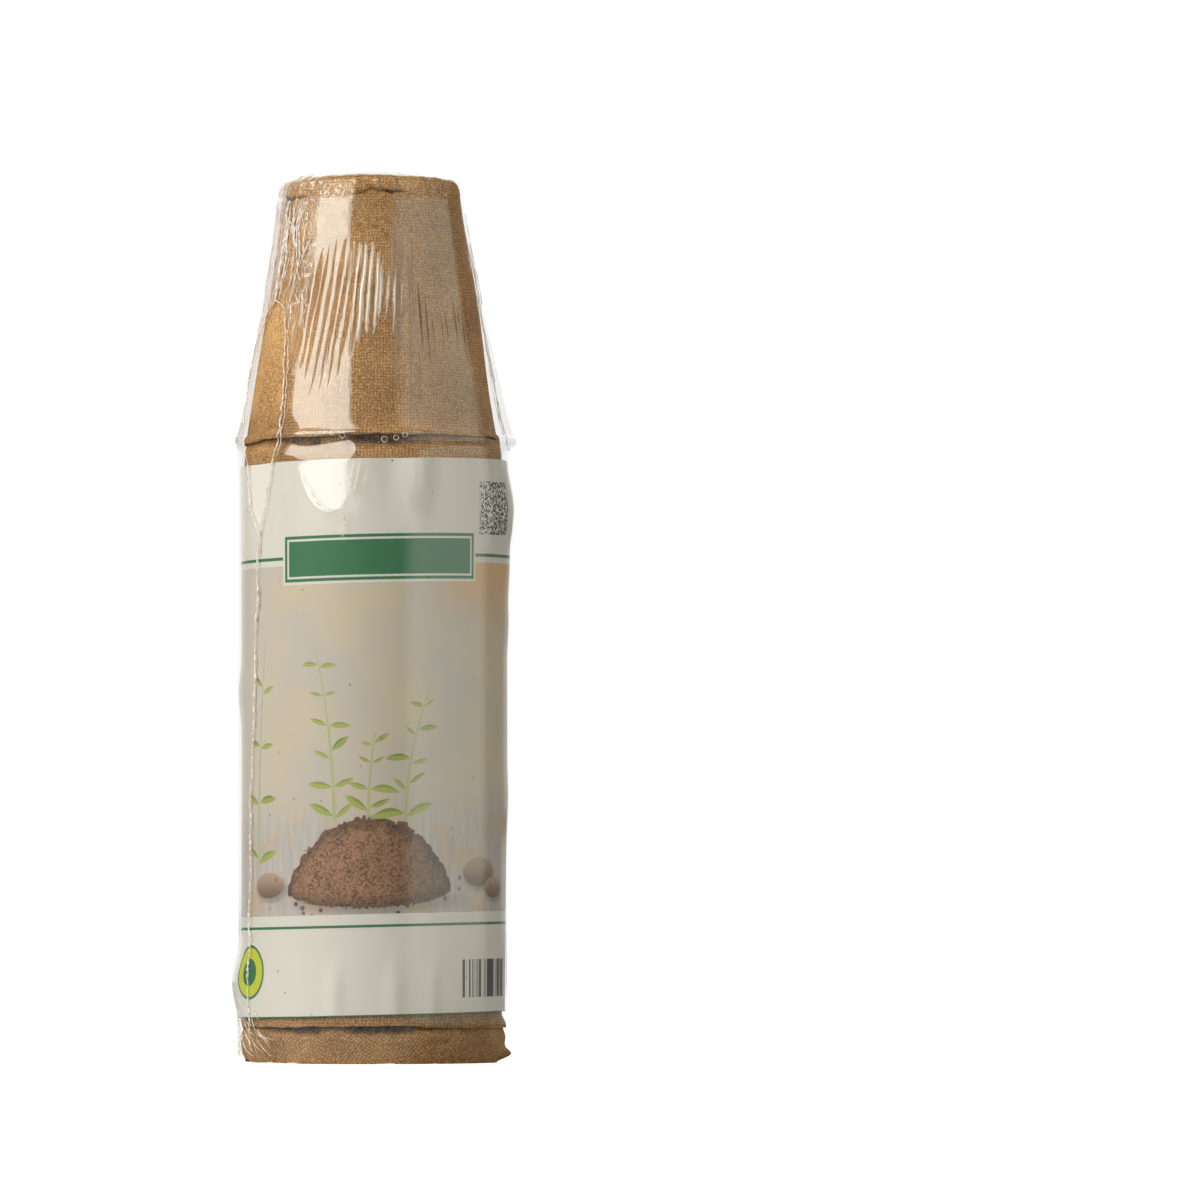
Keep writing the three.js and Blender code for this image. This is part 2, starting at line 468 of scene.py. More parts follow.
def make_pleats():
    """A row of thin pleats down the film, each with its own place, width and ends, and some left out."""
    g, given = new_group("drawn pleats", Surface=None, Pitch=2.0, Wide=0.3, Lean=0.1, Left=0.0, Right=1.0,
                         Top=1.0, Bottom=0.0, Slant=0.0, Scatter=8.0, Fill=1.0)
    surface, pitch, wide, lean, left, right, top, bottom, slant, scatter, fill = given
    u, v, _ = g.split(surface)
    wobble = g.noise(g.vector("MULTIPLY", surface, (0.3, 0.07, 1)), 1.0)
    jags = g.noise(g.vector("MULTIPLY", surface, (1.1, 0.4, 1)), 1.0)
    along = (u + (wobble * 1.3 + jags * 0.3) - (v - top) * lean) / pitch
    whole = g.math("FLOOR", along)
    one, two, three = g.random(g.join(whole, pitch))
    four, five, _ = g.random(g.join(whole, pitch, 7.0))
    high = top + (u - right) * slant - one * scatter
    low = bottom + two * 1.6 * scatter
    room = g.math("MINIMUM", (v - low) / 9.0, (high - v) / 6.0, clamp=True)
    ends = room ** 0.55
    there = g.span(room, 0.0, 0.02) * g.math("LESS_THAN", five, fill) * g.band(u, left, right, 0.3)
    off = g.math("FRACT", along) - (0.4 + three * 0.2)
    half = wide * (0.5 + four * 0.6) * ends
    mask = g.span(half - abs(off), -0.01, 0.04)
    ridge = g.math("EXPONENT", (off / 0.2) ** 2.0 * -1.0)
    return g.close(Mask=mask * there, Ridge=ridge * ends * there)


def make_crumple():
    """Film crushed by hand: sharp branching creases between flat facets."""
    g, (surface, scale) = new_group("crumple", Surface=None, Scale=0.4)
    bend = g.noise(surface, scale * 0.9, 3.0, 0.6)
    bent = g.vector("ADD", surface, g.join(bend * 3.0, bend * -5.0))
    tall = g.vector("MULTIPLY", bent, (1.0, 0.5, 1.0))
    coarse = g.cells(tall, scale, "DISTANCE_TO_EDGE")
    fine = g.cells(tall, scale * 2.1, "DISTANCE_TO_EDGE")
    height = g.span(coarse, 0.0, 0.35) + g.span(fine, 0.0, 0.3) * 0.4
    crease = g.largest(g.span(coarse, 0.09, 0.0), g.span(fine, 0.08, 0.0) * 0.7)
    return g.close(Height=height, Crease=crease)


def make_sprig():
    """A printed seedling: a bent stem with pairs of ovate leaves that get smaller towards its tip."""
    g, given = new_group("printed sprig", Surface=None, Foot=None, Length=30.0, Bend=2.0, Pitch=8.0)
    surface, foot, length, bend, pitch = given
    x, y, _ = g.split(g.vector("SUBTRACT", surface, foot))
    share = y / length
    x = x - g.largest(share, 0.0) ** 2.0 * bend
    on_stem = g.span(share, 0.0, 0.01) * g.span(share, 1.0, 0.985)
    thick = g.span(share, 0.0, 1.0, 0.42, 0.14)
    stem = on_stem * g.span(abs(x) - thick, 0.06, -0.06)
    pair = g.math("FLOOR", y / pitch)
    shrink = 1.0 - 0.55 * (pair * pitch / length)
    chance, spray, third = g.random(g.join(pair, g.math("SIGN", x), length))
    aside = abs(x)
    up = g.math("FRACT", y / pitch) * pitch - (0.3 + chance * 2.2) - aside * aside * (0.05 - third * 0.11)
    angle = 0.1 + spray * 0.65
    rise, run = g.math("SINE", angle), g.math("COSINE", angle)
    along = aside * run + up * rise
    across = up * run - aside * rise
    size = shrink * (0.65 + third * 0.6)
    reach = g.math("MINIMUM", g.largest(along / (size * 7.4), 0.0), 1.0)
    half = g.math("SINE", reach * math.pi) * size
    leaf = g.span(abs(across) - half, 0.0, -0.15) * on_stem
    blade = g.span(across, -0.9, 0.9) * 0.55 + chance * 0.45
    return g.close(Leaf=leaf, Stem=stem, Tone=blade * g.span(abs(across), 0.02, 0.14))


FIBRE_GRAIN = make_fibre_grain()
MESH_IMPRINT = make_mesh_imprint()
PLEATS = make_pleats()
CRUMPLE = make_crumple()
SPRIG = make_sprig()


# Materials

def fibre_material():
    material, g = new_material("moulded_fibre")
    point, surface = g.object_point(), g.uv()
    grain = g.place(FIBRE_GRAIN, Point=point)
    weave = g.place(MESH_IMPRINT, Surface=surface, Pitch=0.68)
    along = g.split(surface)[0]
    worn = g.largest(g.span(along, -24, -19, 0.3, 1.0), g.span(along, -52, -62, 0.3, 1.0))
    presence = weave["Presence"] * worn
    valleys = (1.0 - weave["Height"]) * presence
    scattered = g.noise(g.vector("ADD", point, (4, 1, 7)), 480, 4.0, 0.75)
    ragged = g.noise(g.vector("MULTIPLY", surface, (1.6, 0.5, 1)), 1.0, 3.0, 0.7)
    # Painted shade from the pots' point attribute: near black in the shoulder cracks, in the grooves under
    # the lips, below the split and on parts of the two lowest pots
    painted_shade = g.node("Attribute", "Fac", attribute_name="painted_shade") * g.span(ragged, 0.32, 0.6, 1.0, 0.6)
    colour = g.paint(
        rgb(0.375, 0.196, 0.064),
        (g.span(grain["Tone"], 0.40, 0.60), rgb(0.93, 0.57, 0.25)),
        (g.span(worn, 0.3, 1.0, 0.14, 0.0), rgb(0.13, 0.06, 0.02)),
        (valleys * 0.68, rgb(0.215, 0.098, 0.028)),
        (grain["Specks"] * 0.6, rgb(0.07, 0.035, 0.015)),
        (g.span(scattered, 0.62, 0.72, 0.0, 0.5), rgb(0.17, 0.062, 0.022)),
        (painted_shade, rgb(0.045, 0.022, 0.010)),
    )
    rough = g.bump(grain["Height"], 0.42 * MM, 0.9)
    woven = g.bump(weave["Height"] * presence, 0.07 * MM, 1.0, rough)
    g.shade(Base_Color=colour, Roughness=0.92, Specular_IOR_Level=0.25, Normal=woven)
    return material


# Rows of pleats in the film, in millimetres: two bright, two dark, then the middle and the right ones.
# Scatter is how far the pleats' ends differ, and Fill the share of the pleats that are there.
PLEAT_SIZES = ("Pitch", "Wide", "Lean", "Left", "Right", "Top", "Bottom", "Slant", "Scatter", "Fill")
PLEAT_ROWS = [
    (2.05, 0.15, 0.1, -6.0, 1.6, 187.5, 163.0, 0.0, 1.5, 1.0),
    (2.25, 0.14, 0.09, 1.6, 8.4, 183.5, 163.5, 0.0, 3.0, 1.0),
    (2.3, 0.34, 0.15, -27.0, -4.5, 189.0, 149.0, 0.25, 7.0, 1.0),
    (1.35, 0.34, 0.13, -27.0, -4.0, 191.0, 152.0, 0.2, 12.0, 0.7),
    (1.3, 0.28, 0.05, 5.5, 13.0, 192.0, 143.0, 0.0, 14.0, 0.8),
    (1.7, 0.2, 0.0, 13.0, 34.0, 176.0, 158.0, -0.1, 7.0, 0.75),
]


def film_material():
    material, g = new_material("clear_film")
    surface = g.uv()
    u, v, _ = g.split(surface)
    long_bright, short_bright, dark, thin_dark, middle, right = (
        g.place(PLEATS, Surface=surface, **dict(zip(PLEAT_SIZES, row))) for row in PLEAT_ROWS
    )
    # The bright pleats: whitened film whose cream is also a painted highlight, in place of the key light's
    # glints in the folds
    milky_glints = g.largest(long_bright["Mask"], short_bright["Mask"])
    bare = g.largest(dark["Mask"], thin_dark["Mask"], right["Mask"] * 0.9, middle["Mask"])
    shaded = g.largest(middle["Mask"] * 0.7, right["Mask"])
    drawn = long_bright["Ridge"] + short_bright["Ridge"] + (dark["Ridge"] + right["Ridge"]) * 0.4
    crushed = g.place(CRUMPLE, Surface=surface, Scale=0.34)

    # Parts of the film, by girth and height; those at the left end before the seam at the back
    corner = g.span(u, -18, -22) * g.span(v, 166, 174) * g.span(u, -60, -48)
    low_left = g.span(u, -24, -32) * g.span(v, 20, 6) * g.span(u, -66, -54)
    low_right = g.span(u, 6, 12) * g.span(v, 9.5, 8.5) * g.span(u, 84, 66)
    # Painted reflection: a whitish haze with fine threads on the film's left web, in place of the white
    # backdrop that it mirrors at a grazing angle
    threads = g.noise(g.vector("MULTIPLY", surface, (1.5, 0.25, 1)), 1.0, 3.0, 0.6)
    backdrop_sheen = g.span(u, -32, -39) * g.span(u, -62, -50) * g.span(v, 160, 172)
    backdrop_sheen = backdrop_sheen * g.span(threads, 0.42, 0.66, 0.12, 1.0)
    veil_end = g.span(v, 168, 142, 29.3, 37.3)
    past = g.span(u - veil_end, -0.3, 0.5) * g.span(v, 141, 144) * g.span(u, 76, 56)
    tight = g.span(u, 38, 44) * g.span(u, 72, 58) * g.span(v, 132, 128)
    pouch = g.box(u, v, -19, -4, 116, 137, 1.5)
    ring = g.span(v, 196.6, 197.6)
    patchy = g.span(g.noise(surface, 0.9, 3.0, 0.6), 0.5, 0.6, 0.25, 1.0)
    creased = crushed["Crease"] * g.largest(corner, low_left * 0.12)
    glints_and_sheen = g.largest(milky_glints, backdrop_sheen)

    normal = g.bump(g.noise(g.vector("MULTIPLY", surface, (1, 0.5, 1)), 0.12), 0.5 * MM, 0.35)
    normal = g.bump(drawn, 0.2 * MM, 1.0, normal)
    normal = g.bump(crushed["Height"] * g.largest(corner, low_left), 0.22 * MM, 1.0, normal)
    # Warm cream on the whitened pleats with their painted glints, and pinkish white for the painted
    # reflection on the left web
    glint_tint = g.mix(milky_glints, rgb(1.0, 0.95, 0.90), rgb(1.0, 0.91, 0.75))
    colour = g.paint(rgb(0.90, 0.99, 0.98), (g.span(glints_and_sheen, 0.0, 0.4), glint_tint),
                     (shaded, rgb(0.27, 0.12, 0.035)))
    mirror = g.span(milky_glints, 0.0, 0.4, 1.0, 0.3) * g.span(backdrop_sheen, 0.0, 0.3, 1.0, 0.1)
    mirror = mirror * g.span(shaded, 0.0, 0.5, 1.0, 0.0)

    grazing = g.node("LayerWeight", "Facing", {"Blend": 0.5}) ** 4.0
    alpha = grazing * 0.34 + 0.062
    for share in (
        g.fade(corner, 0.35),
        g.span(v, 168, 146, 1.0, 0.86) * g.fade(low_left, 0.6),
        g.fade(pouch, 0.72),
        1.0 - ring + ring * patchy,
        1.0 - bare * 0.92,
        g.fade(low_right, 0.15),
        g.fade(past, 0.45),
        g.fade(tight, 0.5),
    ):
        alpha = alpha * share
    for mask, share in ((milky_glints, 0.65), (backdrop_sheen, 0.42), (creased, 0.12), (shaded, 0.46)):
        alpha = alpha + mask * share
    g.shade(Base_Color=colour, Metallic=mirror, Roughness=0.09 + glints_and_sheen * 0.3, Alpha=alpha, Normal=normal)
    return material


def fold_material():
    """Where film is doubled, welded or torn it whitens; its warm cream is also a painted highlight for the
    glints along the folds.
    """
    material, g = new_material("film_fold")
    cloud = g.noise(g.object_point(), 700, 3.0, 0.6)
    g.shade(Base_Color=rgb(1.0, 0.93, 0.83), Roughness=0.25, Specular_IOR_Level=0.9,
            Alpha=g.span(cloud, 0.38, 0.55, 0.35, 1.0), Normal=g.bump(cloud, 0.2 * MM))
    return material


def paper_back_material():
    material, g = new_material("paper_back")
    tooth = g.noise(g.object_point(), 3000, 3.0)
    colour = g.mix(tooth, rgb(0.66, 0.64, 0.59), rgb(0.74, 0.72, 0.67))
    g.shade(Base_Color=colour, Roughness=0.8, Normal=g.bump(tooth, 0.03 * MM))
    return material


# The printed picture, in millimetres along the girth and up the band
PEBBLES = [(-27, 30, 5.0, 2.9), (28, 32, 5.5, 3.3), (34, 28.5, 4.0, 2.4)]
# Foot, length, bend and distance between the pairs of leaves
SPRIGS = [((-9, 44, 0), 41, -5.0, 6.9), ((7.5, 44, 0), 30, 6.0, 6.1), ((-1.0, 45, 0), 19, 1.5, 5.2),
          ((-31.0, 34, 0), 52, 2.5, 13.0)]


def printed_ground(g, surface, u, v):
    """A soft, warm background over a table of worn boards."""
    sand = g.paint(
        rgb(0.60, 0.56, 0.49),
        (g.span(g.noise(surface, 0.04), 0.35, 0.65), rgb(0.68, 0.59, 0.43)),
        (g.span(v, 84, 100) * g.span(u, 8, 26) * g.span(u, 88, 60), rgb(0.74, 0.50, 0.26)),
        (g.span(u, -20, -34) * g.span(u, -90, -60), rgb(0.66, 0.60, 0.52)),
    )
    grain = g.noise(g.vector("MULTIPLY", surface, (0.9, 0.1, 1)), 1.0, 4.0, 0.65)
    worn = g.span(g.noise(surface, 0.13, 3.0), 0.48, 0.62) * 0.6
    table = g.paint(rgb(0.47, 0.46, 0.44), (g.span(grain, 0.25, 0.75), rgb(0.65, 0.59, 0.53)),
                    (worn, rgb(0.64, 0.47, 0.29)))
    return g.mix(g.span(v, 52, 38), sand, table)


def printed_heap(g, surface, u, v):
    """The outline and the colour of a low heap of crumbly brown soil."""
    crumbs = g.noise(surface, 1.2, 4.0, 0.75)
    lumps = g.noise(surface, 0.33)
    across = (u + 1.0) / 20.0
    inner = g.largest(1.0 - across ** 2.0, 0.0)
    crown = inner ** 0.75 * 16.5 + 28.5 + (crumbs - 0.5) * 3.2 + (lumps - 0.5) * 4.5
    low = 28.6 - g.math("SQRT", inner) * 4.2 + (crumbs - 0.5) * 3.0
    under = crown - v
    outline = g.span(under, -0.15, 0.15) * g.span(v - low, -0.2, 0.2) * g.span(inner, 0.0, 0.04)
    crumbly = crumbs * 0.62 + g.cell_chance(surface, 2.4) * 0.34
    deep = rgb(0.055, 0.032, 0.02)
    soil = g.paint(
        rgb(0.13, 0.066, 0.034),
        (g.span(crumbly, 0.3, 0.68), rgb(0.47, 0.255, 0.14)),
        (g.span(lumps, 0.42, 0.64, 0.0, 0.4), rgb(0.48, 0.26, 0.14)),
        (g.span(across, -0.1, 1.0, 0.0, 0.6), rgb(0.10, 0.055, 0.035)),
        (g.span(under, 5, 0.5) * 0.6, deep),
        (g.span(v - low, 4, 0) * 0.6, deep),
    )
    return outline, soil


def printed_picture(g, surface, u, v):
    """A heap of soil with seedlings, and some pebbles, on pale boards."""
    picture = printed_ground(g, surface, u, v)
    for x, y, wide, tall in PEBBLES:
        shade = g.oval(u, v, x + 0.6, y - 0.8, wide * 1.1, tall * 1.1, 0.22) * 0.5
        stone = g.mix(g.span(v, y - tall, y + tall), rgb(0.20, 0.13, 0.09), rgb(0.50, 0.37, 0.27))
        pebble = g.oval(u, v, x, y, wide, tall, 0.05)
        picture = g.paint(picture, (shade, rgb(0.16, 0.14, 0.13)), (pebble, stone))
    shade = g.oval(u, v, 1.0, 25.6, 19.0, 2.6, 0.35) * 0.42
    near_heap = g.oval(u, v, 0.0, 27.5, 27.0, 6.5, 0.3)
    strewn = g.span(g.cell_chance(surface, 0.5), 0.6, 0.65) * near_heap
    strewn = strewn * g.span(g.cells(surface, 0.5), 0.34, 0.26)
    picture = g.paint(picture, (shade, rgb(0.13, 0.10, 0.08)), (strewn, rgb(0.15, 0.075, 0.04)),
                      printed_heap(g, surface, u, v))
    for foot, length, bend, pitch in SPRIGS:
        sprig = g.place(SPRIG, Surface=surface, Foot=foot, Length=length, Bend=bend, Pitch=pitch)
        leaf = g.mix(sprig["Tone"], rgb(0.50, 0.54, 0.15), rgb(0.17, 0.27, 0.04))
        picture = g.paint(picture, (sprig["Stem"], rgb(0.50, 0.54, 0.27)), (sprig["Leaf"], leaf))
    return picture


# Rounded folds that run up the paper: place along the girth, half-width and rise in millimetres
UPPER_FOLDS = [(11.2, 3.2, 1.1), (4.2, 2.4, -0.3), (-20.0, 5.5, 0.5)]
LOWER_FOLDS = [(-9.0, 2.2, 0.55), (5.0, 2.2, 0.6), (14.0, 2.0, 0.65)]


def soft_folds(g, u, folds):
    total = 0.0
    for at, wide, rise in folds:
        total = total + g.math("EXPONENT", ((u - at) / wide) ** 2.0 * -1.0) * rise
    return total


def print_material():
    """Off-white paper with a picture, a green heading bar, thin rules, a disc, bars and a speckled block."""
    material, g = new_material("printed_paper")
    surface = g.uv()
    u, v, _ = g.split(surface)
    white = rgb(0.80, 0.775, 0.70)
    green = rgb(0.028, 0.19, 0.075)
    ink = rgb(0.05, 0.045, 0.045)
    rules = g.largest(g.band(v, 103.7, 104.4), g.band(v, 20.0, 20.6), g.span(v, 0.3, 0.2))
    cell = g.vector("FLOOR", g.vector("DIVIDE", surface, (0.37, 0.37, 1)))
    dots = g.span(g.random(cell)[0], 0.5, 0.51) * g.box(u, v, 27.7, 39.8, 108.8, 120.9)
    column = g.math("FLOOR", u / 0.26)
    bars = g.span(g.random(g.join(column, 8.0))[0], 0.44, 0.45) * g.box(u, v, 20.6, 42.5, 3.6, 12.2)
    rare = g.span(g.cell_chance(surface, 0.42), 0.76, 0.8) * g.span(g.noise(surface, 0.06, 1.0), 0.44, 0.54)
    crumb = g.span(g.cells(surface, 0.42), 0.12, 0.07) * rare
    colour = g.paint(
        white,
        (g.band(v, 23.0, 102.4), printed_picture(g, surface, u, v)),
        (rules, green),
        (g.box(u, v, -22.5, 26.4, 98.0, 109.6), white),
        (g.box(u, v, -21.9, 25.8, 98.6, 109.0), green),
        (g.box(u, v, -21.2, 25.1, 99.3, 108.3), white),
        (g.box(u, v, -20.7, 24.6, 99.8, 107.8), green),
        (g.oval(u, v, -35.0, 10.4, 6.2, 6.2), green),
        (g.oval(u, v, -35.0, 10.4, 5.6, 5.6), rgb(0.62, 0.66, 0.03)),
        (g.oval(u, v, -35.0, 10.4, 3.1, 3.1), green),
        (dots, ink),
        (bars, ink),
        (crumb * 0.85, rgb(0.13, 0.05, 0.03)),
    )
    upper = soft_folds(g, u, UPPER_FOLDS) * g.span(v, 106, 123)
    lower = soft_folds(g, u, LOWER_FOLDS) * g.span(v, 15, 5)
    tooth = g.noise(g.object_point(), 1800)
    normal = g.bump(tooth, 0.03 * MM, 0.6, g.bump(upper + lower, 1.0 * MM))
    g.shade(Base_Color=colour, Roughness=0.5, Normal=normal)
    return material


# Pots

POT_FACETS = 240
LIP_RINGS = 11
WALL_RINGS = 28
SHOULDER_RINGS = 13
BASE_RINGS = 7

# Bumps on single pots: bearing and half-width in degrees, height, half-height and rise in millimetres
LIP_BUMPS = {
    "pot_01": [(88, 7, 2.0, 1.2, 2.2), (88, 14, 6.0, 3.5, 1.0), (90, 12, 0.0, 0.7, -1.4),
               (-86, 14, 0.0, 1.6, -0.4), (-88, 22, 5.0, 4.0, 0.8)],
    "pot_02": [(84, 8, 0.5, 1.8, 1.3), (-88, 22, 3.0, 4.0, 0.8)],
}
TOP_BUMPS = [(-88, 34, 0, 26, 0.45), (-88, 34, 57, 9, 0.6), (86, 30, 12, 14, -0.5), (86, 30, 52, 12, -0.4),
             (-20, 30, 0, 9, 0.25)]
GROOVE_DEPTH = 1.9 * MM
COLLAR_RADIUS = 29.5 * MM

# By bearing in degrees: depth of the grooves and darkness of their painted shadow, painted shade on the two
# lowest pots, and lift of the top lip in mm
GROOVE_DEPTH_AND_SHADE = [(-180, 1), (-90, 0.4), (-60, 0.45), (-42, 0.9), (-27, 1), (-22, 0.4), (-12, 0.4), (-8, 1),
               (12, 1), (30, 0.4), (55, 0.12), (90, 0.12), (130, 0.6), (180, 1)]
LOW_POTS_SHADE = [(-180, 0), (-90, 0.1), (-55, 0.42), (-32, 0.14), (0, 0.2), (12, 0.28), (36, 0.55), (60, 0.45),
        (80, 0.2), (120, 0), (180, 0)]
TOP_LIP = [(-180, 0), (-90, -0.4), (-60, -0.1), (-30, 0.3), (0, 0.65), (30, 0.6), (62, 0.9), (90, 0.1),
           (130, 0), (180, 0)]

# Where the shoulder has cracked: bearing and half-width in degrees
CRACKS = [(-66, 19), (4, 19), (128, 22), (-150, 26)]


def pot_profile():
    """Radius and height up the outside of a pot, from its lip over the shoulder to the drain hole."""
    lip = [(-0.2, 0.0), (0.0, 0.3), (-0.02, 0.8), (-0.25, 1.3)]
    profile = [(LIP_RADIUS + out * MM, up * MM) for out, up in lip]
    stretches = ((1.9 * MM, 9.4 * MM, LIP_RINGS), (10.9 * MM, CREASE - 3 * MM, WALL_RINGS),
                 (CREASE - 2.8 * MM, CREASE, SHOULDER_RINGS))
    for start, end, count in stretches:
        profile += [(RIM_RADIUS - TAPER * height, height) for height in np.linspace(start, end, count)]
    for corner in (15, 35, 55, 75, 90):
        turn = math.radians(corner)
        up = SHOULDER_HEIGHT * math.sin(turn)
        radius = RIM_RADIUS - TAPER * (CREASE + up) - SHOULDER_INSET * (1 - math.cos(turn))
        profile.append((radius, CREASE + up))
    return profile + [(radius, POT_HEIGHT) for radius in spread(profile[-1][0], DRAIN_RADIUS, BASE_RINGS)]


def shoulder_crack(bearing, height):
    """The cracked crease under the shoulder: 1 along its middle, and gone where the fibre has held."""
    level = POT_HEIGHT - 4.0 * MM - 1.2 * MM * waves(bearing, 5, (3, 8, 19, 37), 0.5)
    strength = sum(np.exp(-turn_from(bearing, at, wide) ** 4) for at, wide in CRACKS)
    strength = strength * (0.85 + 0.4 * waves(bearing, 6, (7, 13, 23, 41), 0.3))
    return strength * np.exp(-((height - level) / (0.38 * MM)) ** 2)


def wall_change(bearing, height):
    """How far the wall lies out from a true cone, the same in every pot, for they are pressed together."""
    dent = waves(bearing + height / (35 * MM), 7, (2, 3, 4, 6)) * 0.12 * MM
    on_shoulder = step(height, POT_HEIGHT - 4 * MM, POT_HEIGHT - 1.5 * MM)
    lumps = waves(bearing, 8, (9, 17, 31, 43), 0.2) * on_shoulder * 0.5 * MM
    return dent + lumps - 0.8 * MM * shoulder_crack(bearing, height)


def top_change(bearing, height):
    return wall_change(bearing, height) + swell(bearing, height, TOP_BUMPS)


def lip_lift(bearing, index):
    """How far a pot's torn lip lies above its true plane."""
    lift = 0.6 * MM * waves(bearing, 40 + index, (2, 3, 5, 9, 17, 31, 47), 0.35)
    if index == 0:
        return np.maximum(lift, 0) + 0.6 * MM * np.exp(-turn_from(bearing, -84, 11) ** 2)
    if index == 1:
        return lift - 0.4 * MM * at_sides(bearing)
    if index == POT_COUNT - 1:
        return lift + by_bearing(bearing, TOP_LIP) * MM
    return lift


def shape_pot(piece, index):
    """The pot as it came off the mould: a wavy torn lip, a dented wall and a crease at the shoulder."""
    points = get_points(piece)
    bearing, radius = polar(points)
    height = points[:, 2]
    on_wall = step(radius, BASE_RADIUS * 0.75, BASE_RADIUS * 0.9)
    near_rim = np.exp(-height / (4 * MM))
    top_pot = index == POT_COUNT - 1
    change = (top_change if top_pot else wall_change)(bearing, height) * on_wall
    # Painted shade, kept as a point attribute for the fibre's colour: darkest along the shoulder crack, where
    # shade falls
    painted_shade = 1.2 * shoulder_crack(bearing, height) * on_wall
    if not top_pot:
        level = height + 0.8 * MM * waves(bearing, 30, (2, 5, 9, 17, 29, 41), 0.25)
        # How deep the groove under the next pot's lip is, and how dark the painted shadow in it
        dark = by_bearing(bearing, GROOVE_DEPTH_AND_SHADE)
        depth = GROOVE_DEPTH * (1 - 0.65 * at_sides(bearing)) * (0.4 + 0.6 * dark)
        groove = depth * step(level, 6.0 * MM, 7.9 * MM)
        change += (COLLAR_RADIUS - groove - radius) * step(height, 9.6 * MM, 8.9 * MM)
        # Painted shadow in the groove under the next pot's lip
        painted_shade = np.maximum(painted_shade, dark * step(level, 5.7 * MM, 7.5 * MM))
    # Painted shade below the split, near the top two pots' lips
    if index >= POT_COUNT - 2:
        under_split = step(bearing, math.radians(-30), math.radians(-42)) * step(height, 9 * MM, 3 * MM)
        under_split *= step(bearing, math.radians(-130), math.radians(-100))
        painted_shade = np.maximum(painted_shade, 0.42 * under_split)
    # Painted shade on the two lowest pots, most of it on their right and some on their left
    if index < 2:
        painted_shade = np.maximum(painted_shade, by_bearing(bearing, LOW_POTS_SHADE))
    flare = waves(bearing, 80 + index, (3, 7, 13, 23, 41, 67), 0.3)
    change += 0.2 * MM * flare * np.exp(-height / (1.3 * MM))
    change += swell(bearing, height, LIP_BUMPS.get(POTS[index], []))
    draw = np.random.default_rng(index)
    change += draw.normal(0, 0.03 * MM, len(height))
    rough_top = 0.3 * MM * (1.3 + waves(bearing + radius * 40, 55 + index, (3, 7, 16, 31), 0.4))
    rough_top *= step(height, 0.94 * POT_HEIGHT, POT_HEIGHT)
    lift = lip_lift(bearing, index) * near_rim + rough_top
    height = height + lift + draw.normal(0, 0.03 * MM, len(height)) * (1 - near_rim)
    set_points(piece, place(bearing, radius + change, height))
    # Stores the painted shade as a point attribute
    piece.data.attributes.new("painted_shade", "FLOAT", "POINT").data.foreach_set("value", painted_shade)


def make_pots():
    weave = fibre_material()
    model = raise_profile("pot_model", pot_profile(), POT_FACETS, False)
    for index, node in enumerate(POTS):
        piece = bpy.data.objects.new(node + "_fibre", model.data.copy())
        piece.data.name = piece.name
        bpy.context.collection.objects.link(piece)
        shape_pot(piece, index)
        finish_modifier(piece, "SOLIDIFY", thickness=WALL, offset=-1, use_even_offset=True)
        unroll(piece, math.radians(35) if index == 0 else 0.0, 25 * MM)
        points = get_points(piece)
        points[:, 2] += index * PITCH
        set_points(piece, points)
        smooth(piece)
        dress(piece, node, "moulded_fibre", weave)
    bpy.data.objects.remove(model)


# Paper band

BAND_FACETS = 320
BAND_RINGS = 64
BAND_BUMPS = [
    (-90, 24, 18, 6.5, 1.9), (-86, 14, 85, 5, 0.7), (-90, 20, 4, 6, 0.6), (86, 22, 126, 8, 1.9),
    (88, 16, 112, 7, 0.7), (88, 16, 100, 5, 0.4), (84, 18, 60, 6, 0.3), (88, 24, 80, 50, 0.6),
    (20, 5.5, 135, 10, 0.75), (4, 6, 135, 9, -0.2),
    (150, 20, 40, 12, 0.8), (-160, 18, 95, 14, 0.7), (178, 14, 128, 8, 0.6),
]


def band_radius(bearing, height):
    """Distance of the paper's outside from the axis, with bumps, and buckles near its upper edge."""
    fade = np.exp(-np.maximum((BAND_TOP - height) / MM, 0) / 13)
    buckle = 0.25 * MM * (waves(bearing, 3, (8, 11, 17), 0.1) + 0.4) * fade
    slow = 0.15 * MM * waves(bearing + height / (120 * MM), 12, (3, 5, 7), 0.3)
    turn = np.degrees(bearing) % 360
    lap = (PAPER + 0.03 * MM) * step(turn, 162, 172) * (turn < 180)
    return BAND_RADIUS + buckle + slow + lap + swell(bearing, height, BAND_BUMPS)


def make_band():
    heights = [BAND_BOTTOM] + spread(BAND_BOTTOM, BAND_TOP, BAND_RINGS)
    piece = raise_profile("paper_band", [(BAND_RADIUS, height) for height in heights], BAND_FACETS, False)
    points = get_points(piece)
    bearing, _ = polar(points)
    height = points[:, 2]
    radius = band_radius(bearing, height)
    edge = np.exp(-(height - BAND_BOTTOM) / (3 * MM)) + np.exp(-(BAND_TOP - height) / (3 * MM))
    shaped = place(bearing, radius, height + 0.12 * MM * waves(bearing, 9, (4, 9, 15)) * edge)
    shaped[:, 2] += shaped[:, 0] * BAND_SLOPE
    set_points(piece, shaped)
    unroll(piece, 0.0, BAND_RADIUS, BAND_SLOPE, BAND_BOTTOM)
    piece.data.materials.append(print_material())
    piece.data.materials.append(paper_back_material())
    finish_modifier(piece, "SOLIDIFY", thickness=PAPER, offset=-1, material_offset=1)
    smooth(piece)
    dress(piece, "paper_label", "label_paper")


# Shrink film

